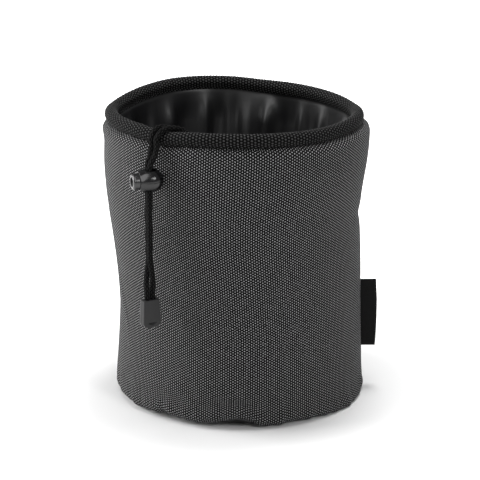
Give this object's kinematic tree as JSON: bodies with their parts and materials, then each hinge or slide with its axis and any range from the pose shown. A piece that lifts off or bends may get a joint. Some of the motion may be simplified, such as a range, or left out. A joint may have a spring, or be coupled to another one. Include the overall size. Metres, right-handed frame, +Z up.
{
  "type": "peg bag",
  "caption": "Standing round fabric peg bag with a corded rim, a drawstring collar tucked inside, and a drawcord with a sprung ball lock and cord end.",
  "frame": {"origin": "centre of the base panel underside, on the floor", "axes": "+Z up through the mouth, -Y to the front, +X to the side seam with the label"},
  "size_m": [0.1759, 0.1706, 0.1962],
  "materials": {
    "weave": "coarse two-tone plain weave, dark grey and black",
    "black_cloth": "plain black woven cloth",
    "black_tape": "black woven tape",
    "rim_mesh": "black coarse knitted mesh",
    "piping_cord": "twisted filler cord",
    "nylon": "thin shiny black nylon",
    "label": "black woven label, bare",
    "braid": "black braided cord",
    "gloss_black": "glossy black moulded",
    "satin_black": "satin black moulded",
    "spring_steel": "bright wire",
    "matt_grey": "matt dark grey moulded"
  },
  "bodies": {
    "bag": {"outer_side_panel": "weave", "base_panel": "black_cloth", "base_seam_binding": "black_tape", "side_seam_tape": "black_tape", "rim_binding": "rim_mesh", "rim_core": "piping_cord", "drawstring_collar": "nylon", "label_tab": "label", "drawcord_loop": "braid", "drawcord_rise_front": "braid", "drawcord_rise_back": "braid"},
    "hanging_cords": {"drawcord_hang_front": "braid", "drawcord_hang_back": "braid", "cord_end_front": "matt_grey", "cord_end_back": "matt_grey"},
    "cord_lock": {"cord_lock_barrel": "gloss_black", "cord_lock_spring": "spring_steel"},
    "lock_plunger": {"cord_lock_plunger": "satin_black"}
  },
  "joints": [
    {"name": "drawcord_swing", "type": "hinge", "parent": "bag", "child": "hanging_cords", "pos_m": [-0.04927, -0.07037, 0.18835], "axis": [-0.8191, 0.5736, 0], "range_deg": [0, 80]},
    {"name": "lock_slide", "type": "slide", "parent": "hanging_cords", "child": "cord_lock", "axis": [0, 0, -1], "range_m": [0, 0.044]},
    {"name": "plunger_press", "type": "slide", "parent": "cord_lock", "child": "lock_plunger", "axis": [0.9397, 0.342, 0], "range_m": [0, 0.0021], "stiffness_N_per_m": 500, "springref_m": -0.006, "deforming": ["cord_lock_spring"]}
  ]
}
